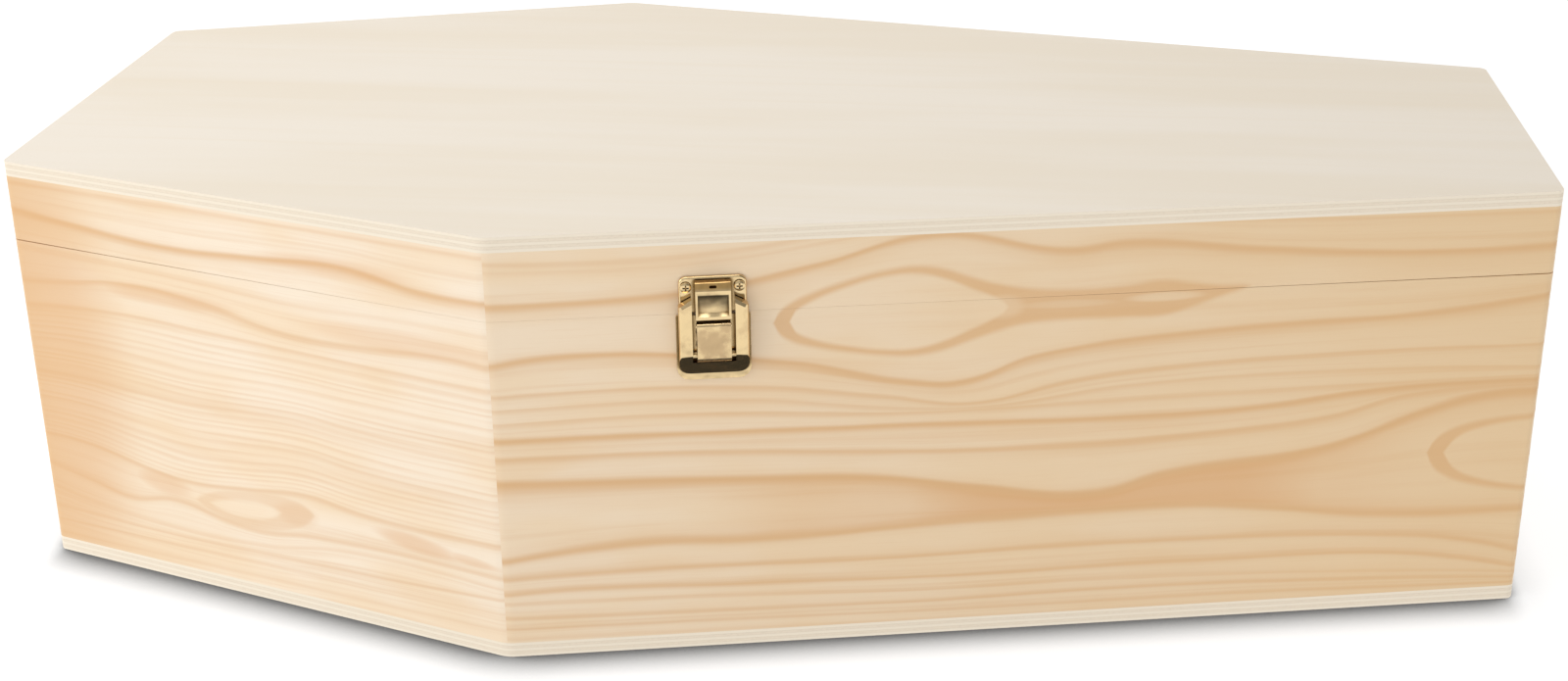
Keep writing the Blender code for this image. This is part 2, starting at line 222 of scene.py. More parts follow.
# %% Measure the six sides
HEAD_WIDTH = 0.152
SHOULDER_WIDTH = 0.260
FOOT_WIDTH = 0.128
SHOULDER_FROM_HEAD = 0.1735
head_x = built_low.x
foot_x = built_high.x
shoulder_x = head_x + SHOULDER_FROM_HEAD
full_height = built_high.z
CORNERS = [
    Vector((head_x, -HEAD_WIDTH / 2, 0)),
    Vector((shoulder_x, -SHOULDER_WIDTH / 2, 0)),
    Vector((foot_x, -FOOT_WIDTH / 2, 0)),
    Vector((foot_x, FOOT_WIDTH / 2, 0)),
    Vector((shoulder_x, SHOULDER_WIDTH / 2, 0)),
    Vector((head_x, HEAD_WIDTH / 2, 0)),
]
SIDES = ["side_near_head", "side_near_foot", "end_foot", "side_far_foot", "side_far_head", "end_head"]


def corner(number):
    """A corner of the plan, counted round and round."""
    return CORNERS[number % len(CORNERS)]


def run_of(side):
    """The direction that a side runs in, from its first corner to its second."""
    return (corner(side + 1) - corner(side)).normalized()


def outward_of(side):
    run = run_of(side)
    return Vector((run.y, -run.x, 0))


def length_of(side):
    return (corner(side + 1) - corner(side)).length


for side, name in enumerate(SIDES):
    print(name, "is", round(length_of(side) * 1000, 1), "mm long")

# %% [markdown]
# ## Boards that meet without a gap
#
# The built boards keep a gap of a third of a millimetre wherever two meet, so that each stays a solid of
# its own. Glued joints show none, and in a picture such a gap draws a black line. So each board is
# cut again here, at the same place and size, with its mitres closed. The corners are sanded round: softly
# at the two shoulders, where the sides meet at a wide angle, and more crisply at the ends. The lid was
# sawn off the closed box and is bowed by a hair, so its saw cut shows only near the two ends.

# %% Cut the boards again
BOARD_THICKNESS = 0.010
PLY_THICKNESS = 0.005
SEAM = 0.1175
SHOULDER_ROUNDING = 0.010
END_ROUNDING = 0.003
ROUNDING = [END_ROUNDING, SHOULDER_ROUNDING, END_ROUNDING, END_ROUNDING, SHOULDER_ROUNDING, END_ROUNDING]
ARC_STEP = math.radians(3)
FACE_PIECES = 16
SEAM_GAP_MIDDLE = 0.00004
SEAM_GAP_ENDS = 0.00034
CASE = "case"


def mitre(number):
    """From a corner, the way inward: its length moves both sides in by one."""
    before = outward_of(number - 1)
    after = outward_of(number)
    return -(before + after) / (1 + before.dot(after))


def half_round(number, side):
    """A corner's rounding on one of its two sides, from the mitre to the flat."""
    radius = ROUNDING[number % len(CORNERS)]
    middle = corner(number) + mitre(number) * radius
    first = -mitre(number).normalized()
    last = outward_of(side)
    steps = max(2, math.ceil(first.angle(last) / ARC_STEP))
    return [middle + first.slerp(last, step / steps) * radius for step in range(steps + 1)]


def board_outline(side):
    """A mitred board seen from above: its rounded ends, its outer face and its inner face."""
    start = half_round(side, side)
    end = half_round(side + 1, side)[::-1]
    face = [start[-1].lerp(end[0], step / FACE_PIECES) for step in range(1, FACE_PIECES)]
    inner = [corner(number) + mitre(number) * BOARD_THICKNESS for number in (side + 1, side)]
    return start + face + end + inner


def seam_gap(point):
    """How far the lid stands off the case at a place, because it is bowed."""
    bow = abs(point.x / foot_x) ** 3
    return SEAM_GAP_MIDDLE + (SEAM_GAP_ENDS - SEAM_GAP_MIDDLE) * bow


def stand_for(name, mesh, body):
    """Puts a new mesh in the place of one built piece, riding on the same body."""
    piece = bpy.data.objects.new(name + "_dressed", mesh)
    bpy.context.collection.objects.link(piece)
    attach(piece, body)
    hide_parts(name)
    return piece


def raise_outline(outline, low, high):
    """A mesh of an outline drawn up from one height to another. Either height may be a function."""
    bottom_of = low if callable(low) else lambda point: low
    top_of = high if callable(high) else lambda point: high
    shape = bmesh.new()
    foot = [shape.verts.new((point.x, point.y, bottom_of(point))) for point in outline]
    top = [shape.verts.new((point.x, point.y, top_of(point))) for point in outline]
    shape.faces.new(foot[::-1])
    shape.faces.new(top)
    for number in range(len(outline)):
        after = (number + 1) % len(outline)
        shape.faces.new((foot[number], foot[after], top[after], top[number]))
    return shape


def finish_mesh(shape, name):
    mesh = bpy.data.meshes.new(name)
    shape.to_mesh(mesh)
    shape.free()
    return mesh


lid_panel_low = full_height - PLY_THICKNESS
boards = {}
for side, name in enumerate(SIDES):
    outline = board_outline(side)
    case_board = raise_outline(outline, PLY_THICKNESS, lambda point: SEAM - seam_gap(point) / 2)
    lid_board = raise_outline(outline, lambda point: SEAM + seam_gap(point) / 2, lid_panel_low)
    for half, shape in (("case_", case_board), ("lid_", lid_board)):
        mesh = finish_mesh(shape, half + name)
        boards[half + name] = stand_for(half + name, mesh, CASE)
print("boards cut:", len(boards))

# %% [markdown]
# ## Panels glued flush
#
# The top and bottom panels lie over the boards and are sanded flush with them, so each joint shows only as
# a change from one grain to another. Their sharp rims were rubbed over with sandpaper. A Bevel modifier
# would round every edge of a panel, also those on the glue joint, so only the outer rim is rounded here.

# %% Cut the plywood top and bottom
EDGE_EASING = 0.0005
EASING_STEPS = 3
SAME_PLACE = 1e-6
LEVEL_FACE = 0.99


def roll_edges(shape, edges, radius, steps, clamped=False):
    """Rounds some edges of a mesh over. Clamped stops a roll where it would meet the next one."""
    bmesh.ops.bevel(
        shape, geom=edges, offset=radius, segments=steps, profile=0.5, affect="EDGES", clamp_overlap=clamped
    )


def panel_outline():
    """The whole plan, with every corner rounded."""
    points = []
    for number in range(len(CORNERS)):
        points += half_round(number, number - 1)[::-1]
        points += half_round(number, number)[1:]
    return points


def plywood_panel(name, low, high, eased):
    """A panel of the full plan, with the rim at one height rubbed over."""
    shape = raise_outline(panel_outline(), low, high)
    rim = [edge for edge in shape.edges if all(abs(vert.co.z - eased) < SAME_PLACE for vert in edge.verts)]
    roll_edges(shape, rim, EDGE_EASING, EASING_STEPS)
    for face in shape.faces:
        face.material_index = 0 if abs(face.normal.z) > LEVEL_FACE else 1
    return stand_for(name, finish_mesh(shape, name), CASE)


panels = {
    "case_bottom": plywood_panel("case_bottom", 0, PLY_THICKNESS, 0),
    "lid_top": plywood_panel("lid_top", lid_panel_low, full_height, full_height),
}
print("panels cut:", len(panels))

# %% [markdown]
# ## Pine, ring by ring
#
# A pine board shows the tree's yearly rings: a pale, soft band for spring and a thin amber line for late
# summer. Where the saw cuts a ring at a slant, it draws a long line; where it just grazes one, it leaves
# a closed eye. A noise stretched sideways gives lines, but never an eye with a tail, or two lines that
# meet in a dark pool. So each strong ring is drawn as a curve that says how high it runs along
# the board. The rings count upward, and that count is a ruler of its own: fine streaks that follow it
# bend with the strong rings, as they do in real wood.

# %% The parts of the pine finish
LINE_SHARE = 0.72
EYE_ZERO = 20


def along_in_mm(wire, direction, origin):
    """The distance of each point from the origin along a direction, in millimetres."""
    place = wire.node("ShaderNodeTexCoord", output="Object")
    reach = wire.node(
        "ShaderNodeVectorMath", {"operation": "DOT_PRODUCT"}, {0: place, 1: direction * 1000}, "Value"
    )
    return reach - direction.dot(origin) * 1000


def shape_over(along, length, height, points):
    """A height that changes along the board as the points say, all in millimetres."""
    scaled = [(max(0, min(1, across / length)), up / height) for across, up in points]
    return along.node("ShaderNodeFloatCurve", {"curves": [scaled]}, {"Value": along / length}) * height


def pulse(distance):
    """A ring's darkness across its width: a wide faint shade, and a line that ends at a sharper edge."""
    line = distance.rise(-1.1, 0) * (1 - distance.rise(0, 0.7))
    shade = distance.rise(-3.2, -0.2) * (1 - distance.rise(-0.2, 1.6))
    return line * LINE_SHARE + shade * (1 - LINE_SHARE)


def darker_of(first, second):
    return second if first is None else first.math("MAXIMUM", first, second)


def noise(x, y, z, detail=2.0, rough=0.5):
    """A noise between about 0.3 and 0.7 in a space stretched as wanted."""
    place = x.node("ShaderNodeCombineXYZ", None, {0: x, 1: y, 2: z})
    sockets = {"Vector": place, "Scale": 1.0, "Detail": detail, "Roughness": rough}
    return x.node("ShaderNodeTexNoise", None, sockets)


def draw_rings(u, z, length, height, rings, swell):
    """The darkness of all the strong rings, and a count of the rings below each point.

    Here and below, u is the distance along the board and z the height, in millimetres.
    """
    dark = None
    count = 0
    lower = None
    for points, width, strength in rings:
        line = shape_over(u, length, height, points)
        across = (z - line) / (swell * width)
        dark = darker_of(dark, pulse(across) * strength)
        if lower is not None:
            count = z.rise(lower, line, soft=False) + count
        lower = line
    return dark, count


def draw_eye(u, z, length, height, eye):
    """A ring that closes on itself: a middle line, and how far its outer and inner edges are from it.

    Where the ring is closed those distances go below zero. The curve node can't, so they are drawn higher
    and brought down again.
    """
    middle, outer, inner, strength = eye
    ridge = shape_over(u, length, height, middle)
    outer_half = shape_over(u, length, height, [(across, up + EYE_ZERO) for across, up in outer]) - EYE_ZERO
    inner_half = shape_over(u, length, height, [(across, up + EYE_ZERO) for across, up in inner]) - EYE_ZERO
    away = abs(z - ridge)
    return (outer_half - away).rise(-1.3, 1.3) * (away - inner_half).rise(-1.2, 1.0) * strength


def draw_spot(u, z, spot):
    """A soft oval stain: its middle, its half length and half height, its lean and its strength."""
    across, up, half_length, half_height, lean, strength = spot
    along = (u - across) / half_length
    rising = (z - up - (u - across) * lean) / half_height
    return (1 - (along * along + rising * rising).rise(0.1, 1.3)) * strength


def draw_pool(u, z, length, height, pool):
    """The dark filling between two rings, where the saw ran along one of them."""
    low_points, high_points, first, last, fade, strength = pool
    low_edge = shape_over(u, length, height, low_points)
    high_edge = shape_over(u, length, height, high_points)
    inside = (z - low_edge).rise(-0.5, 2.5) * (high_edge - z).rise(-0.5, 2.5)
    return inside * u.rise(first - fade, first) * (1 - u.rise(last, last + fade)) * strength


def draw_comb(u, z, length, height, comb):
    """Close, even rings that fill the space between two curves."""
    low_points, high_points, number, strength = comb
    low_edge = shape_over(u, length, height, low_points)
    high_edge = shape_over(u, length, height, high_points)
    share = z.node("ShaderNodeMapRange", None, {"Value": z, "From Min": low_edge, "From Max": high_edge})
    inside = share.rise(0.0, 0.04) * (1 - share.rise(0.96, 1.0))
    uneven = noise(u * 0.005, share * number * 0.3, share * 3.0, detail=2.0)
    place = share * number + uneven * 2.4
    part = place.math("FRACT", place)
    tooth = part.rise(0.2, 0.7) * (1 - part.rise(0.75, 1.0))
    worn = noise(u * 0.015, place * 0.8, share * 3.0).rise(0.15, 0.6)
    return inside * tooth * worn * strength

# %% [markdown]
# ## One finish for every side
#
# The rings of a side come in as lists, and one function turns them into its finish. The wood between the
# rings isn't plain either: faint streaks follow the count of rings, and short fibres catch the light. A
# painted picture could hold all of this, but it would have to be fitted to each board by hand. A finish
# made of sums in the box's own space fits every board, and its mitred ends too.

# %% The pine finish
SWAY_MM = 2.6
STREAK_STRENGTH = 0.26
FIBRE_STRENGTH = 0.12
PINE_RELIEF = 0.0002
PINE_ROUGHNESS = 0.48
EARLY_WOOD = paint(248, 225, 194)
PALE_WOOD = paint(250, 233, 210)
DEEP_WOOD = paint(235, 203, 158)
LATE_WOOD = paint(224, 177, 122)
AMBER_WOOD = paint(226, 173, 117)


def pine(
    name, side, rings, eyes=(), pools=(), spots=(), bare=(), combs=(), seed=0.0, deep=(0.1, 0.3, 1.0)
):
    """The finish of the boards on one side of the box, with its strong rings, eyes, pools and spots.

    Bare spots are pale streaks inside the dark wood. Deep says how deep the colour is at the start and
    the end of the board, and how it changes from one to the other.
    """
    material, wire = start_finish(name)
    length = length_of(side) * 1000
    height = full_height * 1000
    u = along_in_mm(wire, run_of(side), corner(side))
    level = along_in_mm(wire, Vector((0, 0, 1)), Vector())
    depth = along_in_mm(wire, -outward_of(side), corner(side))

    sway = noise(u * 0.008, level * 0.03 + seed, depth * 0.04, detail=3.0) - 0.5
    z = level + sway * SWAY_MM - depth * 0.3
    swell = noise(u * 0.012, level * 0.06 + seed * 3, depth * 0.04) * 1.6 + 0.2
    dark, count = draw_rings(u, z, length, height, rings, swell)
    for eye in eyes:
        dark = darker_of(dark, draw_eye(u, z, length, height, eye))
    for comb in combs:
        dark = darker_of(dark, draw_comb(u, z, length, height, comb))
    for spot in bare:
        dark = dark * (1 - draw_spot(u, z, spot))
    pooled = None
    for pool in pools:
        pooled = darker_of(pooled, draw_pool(u, z, length, height, pool))
    for spot in spots:
        pooled = darker_of(pooled, draw_spot(u, z, spot))

    fine = noise(u * 0.004, count * 2.7 + z * 0.05, depth * 0.05 + seed, detail=4.0, rough=0.6)
    tint = noise(u * 0.015, z * 0.05, depth * 0.05 + seed + 4)
    fibre = noise(u * 0.06, z * 2.2, depth * 0.8, detail=3.0)

    colour = tint.rise(0.38, 0.66).mix(PALE_WOOD, EARLY_WOOD)
    deep_start, deep_end, deep_curve = deep
    share_along = (u / length).rise(0.0, 1.0, soft=False)
    deepening = share_along ** deep_curve * (deep_end - deep_start) + deep_start
    colour = deepening.mix(colour, DEEP_WOOD)
    colour = (fine.rise(0.48, 0.72) * STREAK_STRENGTH).mix(colour, LATE_WOOD)
    colour = (fibre.rise(0.5, 0.8) * FIBRE_STRENGTH).mix(colour, LATE_WOOD)
    colour = dark.mix(colour, LATE_WOOD)
    if pooled is not None:
        colour = pooled.mix(colour, AMBER_WOOD)
    relief = fibre * 0.3 - dark * 0.2
    bump = wire.node("ShaderNodeBump", None, {"Height": relief, "Strength": 0.12, "Distance": PINE_RELIEF})
    end_finish(material, {"Base Color": colour, "Roughness": PINE_ROUGHNESS + fibre * 0.15, "Normal": bump})
    return material

# %% [markdown]
# ## The near side, shoulder to foot
#
# This is the board that faces the viewer, so its figure is drawn ring by ring. Each ring is a list of
# places: millimetres along from the shoulder, and millimetres up. Its width and darkness follow. A width
# below zero turns the ring's soft side upward. The rings bend round a long eye near the top, and pinch
# to a dark pool below the middle, where the saw ran along one ring for a hand's breadth.

# %% Draw the rings of the near foot side
POOL_FLOOR = [(0, 34.5), (45, 39), (80, 38), (160, 41.5), (220, 42), (250, 39), (280, 35), (333, 33.8)]
POOL_ROOF = [(0, 62.5), (80, 59.5), (120, 57.5), (150, 53), (190, 48.5), (212, 54), (265, 60.5),
             (300, 72.5), (318, 76.5), (333, 77)]
NEAR_FOOT_RINGS = [
    ([(0, 6), (333, 4)], -1.4, 0.3),
    ([(0, 10), (120, 8.7), (240, 8), (333, 6)], -1.4, 0.45),
    ([(0, 14), (120, 12.2), (200, 12.8), (280, 10.5), (333, 8)], -1.5, 0.5),
    ([(0, 19), (60, 18.3), (120, 16.5), (200, 16.5), (280, 13.5), (333, 10)], -1.3, 0.35),
    ([(0, 22.5), (25, 23.5), (80, 22), (140, 21), (220, 21.4), (290, 19.7), (333, 12)], -1.8, 0.6),
    ([(0, 28), (40, 29.5), (110, 28.5), (200, 29.8), (295, 26.3), (315, 23), (333, 18)], -2.0, 0.6),
    (POOL_FLOOR, -3.0, 0.75),
    (POOL_ROOF, 3.6, 0.85),
    ([(0, 70.5), (60, 70.2), (120, 67.2), (170, 66), (230, 68), (265, 71), (290, 77.5), (333, 79.5)],
     2.2, 0.6),
    ([(0, 77), (120, 76.3), (200, 75), (245, 76.3), (280, 80), (333, 81)], 2.3, 0.8),
    ([(0, 82.5), (60, 83.2), (130, 80.2), (230, 81.5), (333, 82.2)], 1.7, 0.4),
    ([(0, 87.5), (80, 87), (125, 82), (155, 81), (200, 86), (333, 85.5)], 1.5, 0.4),
    ([(0, 92.5), (80, 91.5), (120, 86.3), (150, 82.5), (180, 88.5), (210, 91.5), (333, 93.5)], 1.6, 0.5),
    ([(0, 102.5), (25, 105), (90, 99.5), (130, 90.5), (143, 89.5), (170, 97.5), (230, 103.5), (300, 106.5),
      (333, 110.5)], 2.4, 0.75),
    ([(0, 122), (60, 124.5), (100, 131.5), (137, 139.5), (178, 132.5), (197, 133.8), (240, 130), (285, 127),
      (333, 127)], 2.6, 0.75),
    ([(0, 136.5), (40, 135.5), (80, 138), (110, 142), (180, 144), (240, 140), (333, 139)], 1.6, 0.35),
]
LONG_EYE = (
    [(88, 113), (132, 114.8), (155, 114.8), (207, 115.3), (240, 119)],
    [(84, -5), (87, 0), (88.5, 3.4), (92, 6.4), (100, 9.6), (110, 12.2), (122, 14.4), (130, 15), (138, 14),
     (147, 11), (156, 8), (166, 5.8), (180, 5), (196, 5.4), (208, 6), (217, 4.2), (226, 2), (235, 0),
     (240, -5)],
    [(89, -5), (92, 0), (93.5, 3.4), (98, 6.2), (108, 9.6), (121, 12.3), (131, 12.6), (140, 10.4), (148, 7),
     (154, 4.4), (158, 2), (161, -1.5), (166, -4), (175, -5), (333, -5)],
    0.72,
)
FOOT_EYE = (
    [(296, 56), (333, 54.3)],
    [(294, -6), (298, 0), (300, 4.5), (304, 8), (311, 10.8), (321, 12.8), (333, 14)],
    [(299, -5), (303.5, 0), (305.5, 3.6), (309, 6.8), (315, 9.2), (324, 11.2), (333, 12.3)],
    0.72,
)
TAIL_STREAKS = [
    (209, 115.8, 13, 1.7, 0.02, 0.75),
    (178, 114.8, 16, 1.5, 0.0, 0.35),
    (158, 114.8, 7, 4.5, 0.0, 0.5),
]
POOL = (POOL_FLOOR, POOL_ROOF, 160, 232, 50, 0.66)
FAINT_POOL = (POOL_FLOOR, POOL_ROOF, 100, 262, 45, 0.22)
finishes = {
    "side_near_foot": pine(
        "pine_near_foot", 1, NEAR_FOOT_RINGS, [LONG_EYE, FOOT_EYE], [POOL, FAINT_POOL],
        bare=TAIL_STREAKS, seed=2.0, deep=(0.3, 0.95, 1.0),
    ),
}

# %% [markdown]
# ## The near side, head to shoulder
#
# This board is milder: close, straight rings in the middle, one broad amber ring near the top, and a
# string of small eyes low down.

# %% Draw the rings of the near head side
COMB_FLOOR = [(0, 45.5), (20, 45), (45, 40.7), (62, 39), (85, 41), (108, 43.5), (130, 41), (182, 40)]
COMB_ROOF = [(0, 94), (40, 97), (80, 96), (182, 94)]
NEAR_HEAD_RINGS = [
    ([(0, 7), (182, 9)], -1.2, 0.25),
    ([(0, 12), (182, 15)], -1.2, 0.25),
    ([(0, 18), (60, 17), (182, 20)], -1.3, 0.3),
    ([(0, 26), (30, 21.5), (90, 20.5), (120, 25), (182, 24)], -1.6, 0.3),
    ([(0, 34.5), (20, 31), (36, 28), (55, 31), (75, 27), (90, 25.5), (110, 28), (182, 28)], -2.0, 0.42),
    (COMB_FLOOR, 1.8, 0.5),
    (COMB_ROOF, 1.5, 0.4),
    ([(0, 103), (20, 105), (42, 108), (75, 106), (105, 101), (135, 101), (160, 102.8), (182, 102.3)],
     2.2, 0.5),
    ([(0, 115), (60, 114), (110, 112), (150, 113), (182, 112.5)], 1.6, 0.2),
    ([(0, 128.5), (20, 127), (60, 124), (100, 125.5), (130, 127.5), (160, 123.3), (182, 123)], 2.4, 0.75),
    ([(0, 138), (182, 138.5)], 1.6, 0.35),
]
LOW_EYE = (
    [(64, 33), (85, 33.4), (108, 36)],
    [(58, -5), (63, 0), (70, 4), (80, 6.8), (92, 7.5), (102, 6), (109, 2.5), (113, -4)],
    [(64, -5), (69, 0), (76, 2.4), (85, 3.2), (93, 2.4), (98, 0), (102, -5), (182, -5)],
    0.34,
)
LOW_SPOTS = [
    (0, 70, 42, 100, 0.0, 0.5),
    (50, 36.5, 12, 4.2, -0.1, 0.36),
    (104, 35.5, 9, 5, 0.0, 0.26),
    (150, 34.5, 16, 3.6, -0.12, 0.45),
    (170, 32.5, 10, 2, -0.1, 0.3),
    (128, 127, 30, 4, 0.0, 0.3),
    (60, 106, 30, 3.5, 0.0, 0.3),
    (150, 105.5, 40, 4.5, 0.0, 0.3),
]
HEAD_COMB = (COMB_FLOOR, COMB_ROOF, 22, 0.27)
LOW_COMB = ([(0, 2), (182, 3)], [(0, 26), (30, 21.5), (90, 20.5), (120, 25), (182, 24)], 7, 0.16)
finishes["side_near_head"] = pine(
    "pine_near_head", 0, NEAR_HEAD_RINGS, [LOW_EYE], spots=LOW_SPOTS, combs=[HEAD_COMB, LOW_COMB],
    seed=7.0, deep=(1.0, -0.35, 0.4),
)

# %% [markdown]
# ## Boards grown by a rule
#
# The other four boards face away. Drawing each by hand would be slow, and copying the front would show.
# A tree's rule is enough: rings nest round a heart line, wide apart near it and close together
# further out, and each one bulges where the saw grazed the heart. The chance behind it is seeded, so
# the boards come out the same each time.

# %% Grow the rings of the four far boards
BULGE_SPREAD = 0.28
LOWEST_RING, HIGHEST_RING = 2, 143
RING_STEPS = 6
FADE_FROM_HEART = 30
WIDER_AT_HEART = 7
EYE_RIGHT_HALF = [(0.8, 0.6), (1.1, 0.3), (1.2, 0), (1.3, -0.5)]


def grown_rings(length, heart, opening, chance):
    """Rings nested round a heart line, with the eye in the middle of them."""
    centre = length * chance.uniform(0.35, 0.65)
    spread = length * BULGE_SPREAD
    rings = []
    for way in (-1, 1):
        reach = chance.uniform(5, 8)
        while LOWEST_RING < heart + way * reach < HIGHEST_RING:
            near_heart = math.exp(-reach / FADE_FROM_HEART)
            points = []
            for step in range(RING_STEPS + 1):
                across = length * step / RING_STEPS
                bulge = math.exp(-((across - centre) / spread) ** 2) * opening * near_heart
                points.append((across, heart + way * (reach + bulge) + chance.uniform(-0.5, 0.5)))
            rings.append((points, way * chance.uniform(1.5, 2.8), chance.uniform(0.35, 0.8)))
            reach += chance.uniform(3.5, 5.5) + WIDER_AT_HEART * near_heart
    rings.sort(key=lambda ring: ring[0][0][1])
    reaches = [(-share, part) for share, part in EYE_RIGHT_HALF[::-1]] + [(0, 1)] + EYE_RIGHT_HALF
    outer = [(centre + share * spread, part * opening * 0.8 + 1) for share, part in reaches]
    inner = [(centre + share * spread * 0.9, part * opening * 0.7 - 1) for share, part in reaches]
    return rings, [([(0, heart), (length, heart)], outer, inner, 0.6)]


FAR_BOARDS = {
    "end_foot": (62, 6), "side_far_foot": (78, 14), "side_far_head": (48, 11), "end_head": (90, 7),
}
for name, (heart, opening) in FAR_BOARDS.items():
    side = SIDES.index(name)
    rings, eyes = grown_rings(length_of(side) * 1000, heart, opening, random.Random(side))
    finishes[name] = pine("pine_" + name, side, rings, eyes, seed=side * 5.0)
for name, piece in boards.items():
    piece.data.materials.append(finishes[name.split("_", 1)[1]])

# %% [markdown]
# ## Plywood
#
# The top and bottom are thin plywood. Its face is a peeled veneer, pale and almost without figure. Its
# edge shows the veneers in turn: those that run along the edge stay pale, and those that cross it show
# their darker ends. The layers could be cut as steps, but sanded plywood is flat, so they are bands of
# colour by height.

# %% The plywood finishes
PLY_FACE = paint(244, 234, 219)
PLY_FACE_WARM = paint(241, 229, 210)
PLY_ALONG = paint(246, 234, 214)
PLY_ACROSS = paint(240, 226, 204)
GLUE_LINE = paint(220, 204, 181)
PLY_LAYERS = 5


def plywood_face():
    """A peeled veneer: long, faint streaks along the box."""
    material, wire = start_finish("plywood_face")
    x = along_in_mm(wire, Vector((1, 0, 0)), Vector())
    y = along_in_mm(wire, Vector((0, 1, 0)), Vector())
    z = along_in_mm(wire, Vector((0, 0, 1)), Vector())
    broad = noise(x * 0.004, y * 0.03, z * 0.1, detail=3.0)
    streak = noise(x * 0.006, y * 0.25 + broad * 3, z * 0.1 + 7, detail=4.0)
    fibre = noise(x * 0.05, y * 2.0, z * 0.1, detail=2.0)
    colour = broad.rise(0.35, 0.65).mix(PLY_FACE, PLY_FACE_WARM)
    colour = (streak.rise(0.5, 0.75) * 0.25).mix(colour, PLY_ACROSS)
    colour = (fibre.rise(0.5, 0.8) * 0.1).mix(colour, PLY_ACROSS)
    bump = wire.node("ShaderNodeBump", None, {"Height": fibre, "Strength": 0.1, "Distance": 0.0001})
    end_finish(material, {"Base Color": colour, "Roughness": 0.5 + fibre * 0.1, "Normal": bump})
    return material


def plywood_edge(low):
    """Five veneers seen from the edge, counted up from the underside of the panel."""
    material, wire = start_finish("plywood_edge")
    x = along_in_mm(wire, Vector((1, 0, 0)), Vector())
    y = along_in_mm(wire, Vector((0, 1, 0)), Vector())
    z = along_in_mm(wire, Vector((0, 0, 1)), Vector((0, 0, low)))
    waver = (noise(x * 0.03, y * 0.03, z * 0.1) - 0.5) * 0.3
    veneer = (z + waver) / (PLY_THICKNESS * 1000 / PLY_LAYERS)
    in_layer = veneer.math("FRACT", veneer)
    crossing = (veneer * math.pi).math("SINE", veneer * math.pi).rise(-0.25, 0.25)
    within = veneer.rise(0.3, 0.6) * (1 - veneer.rise(PLY_LAYERS - 0.6, PLY_LAYERS - 0.3))
    glue = abs(in_layer - 0.5).rise(0.38, 0.5) * within
    ends = noise(x * 0.9, y * 0.9, z * 2.5, detail=3.0)
    colour = crossing.mix(PLY_ACROSS, PLY_ALONG)
    colour = ((1 - crossing) * ends.rise(0.45, 0.7) * 0.3).mix(colour, GLUE_LINE)
    colour = (glue * 0.5).mix(colour, GLUE_LINE)
    end_finish(material, {"Base Color": colour, "Roughness": 0.6})
    return material


veneer_face = plywood_face()
for name, piece in panels.items():
    piece.data.materials.append(veneer_face)
    piece.data.materials.append(plywood_edge(0 if name == "case_bottom" else lid_panel_low))

# %% [markdown]
# ## The latch
#
# The latch is pressed from thin sheet, so no edge on it is truly sharp: each one is rolled over a little,
# and that is where the bright lines on it come from. The built pieces have sharp edges. A shader can
# fake the roll, but it's lost when the model is exported, so each piece is cut again with its edges
# bevelled. Flat faces that were split in triangles are joined first, because a bevel follows every edge.
# Two places are rolled wider than the rest and are cut first: the strike's outline, which the press bent
# over in a soft curve, and the tops of the housing's two ears, which end in a flat slope.

# %% Roll the edges of the latch pieces
ROLLED_EDGE = {"latch_housing": 0.00035, "latch_strike": 0.0003, "latch_flap": 0.00022}
SCREW_EDGE = 0.0001
ROLL_STEPS = 4
WIDE_ROLL = {"latch_housing": 0.0010, "latch_strike": 0.0007}
WIDE_STEPS = {"latch_housing": 1, "latch_strike": 5}
PLATE_FRONT = 0.0011
LATCH_FRONT = 0.0050
EAR_FOOT = SEAM + 0.0036
ON_FACE = 0.00005
RIM_BAND = 0.0013
SHARP_BEND = math.radians(32)
SMOOTH_BEND = math.radians(26)
FLAT_BEND = math.radians(0.5)


def out_of_board(point):
    """How far a point stands out of the near foot board."""
    return (point - corner(1)).dot(outward_of(1))


def sharp_edges(shape):
    return [edge for edge in shape.edges if edge.is_manifold and edge.calc_face_angle() > SHARP_BEND]


def widely_rolled(name, shape):
    """The edges with a wide roll: the strike plate's outline, or the tops of the housing's two ears."""
    places = [vert.co.dot(run_of(1)) for vert in shape.verts]
    first, last = min(places), max(places)
    top = max(vert.co.z for vert in shape.verts)

    def on_outline(vert):
        place = vert.co.dot(run_of(1))
        near_rim = place - first < RIM_BAND or last - place < RIM_BAND or top - vert.co.z < RIM_BAND
        return near_rim and abs(out_of_board(vert.co) - PLATE_FRONT) < ON_FACE

    def on_ear(vert):
        return vert.co.z > EAR_FOOT and out_of_board(vert.co) > LATCH_FRONT - ON_FACE

    wanted = {"latch_strike": on_outline, "latch_housing": on_ear}[name]
    return [edge for edge in sharp_edges(shape) if all(wanted(vert) for vert in edge.verts)]


